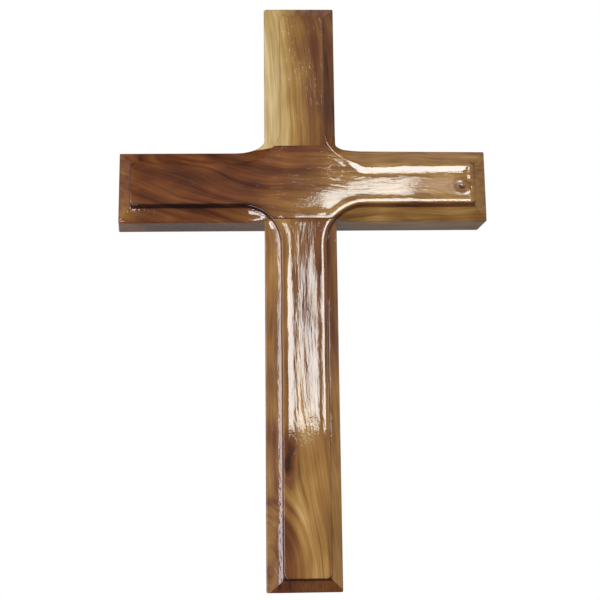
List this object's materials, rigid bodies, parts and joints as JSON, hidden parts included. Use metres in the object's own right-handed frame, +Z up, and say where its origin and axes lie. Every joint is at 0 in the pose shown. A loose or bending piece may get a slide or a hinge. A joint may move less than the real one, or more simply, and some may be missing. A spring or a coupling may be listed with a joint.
{
  "type": "wall cross",
  "caption": "Lacquered olive wood wall cross: half-lapped boards with a raised front field, sloped mitred margins and a sawtooth hanger.",
  "frame": {"origin": "on the flat back face, at the centre of the crossing: midway between the arm's ends and edges", "axes": "+Z up along the post, -Y out of the raised front, +Y out of the flat back to the wall, +X along the arm to the right seen from the front"},
  "size_m": [0.1936, 0.0304, 0.3],
  "materials": {
    "post_wood": "gloss lacquer",
    "arm_wood": "gloss lacquer",
    "hanger_metal": "plated, satin"
  },
  "bodies": {
    "root": {"post": "post_wood", "arm": "arm_wood", "hanger_plate": "hanger_metal", "hanger_nail_left": "hanger_metal", "hanger_nail_right": "hanger_metal"}
  },
  "joints": []
}
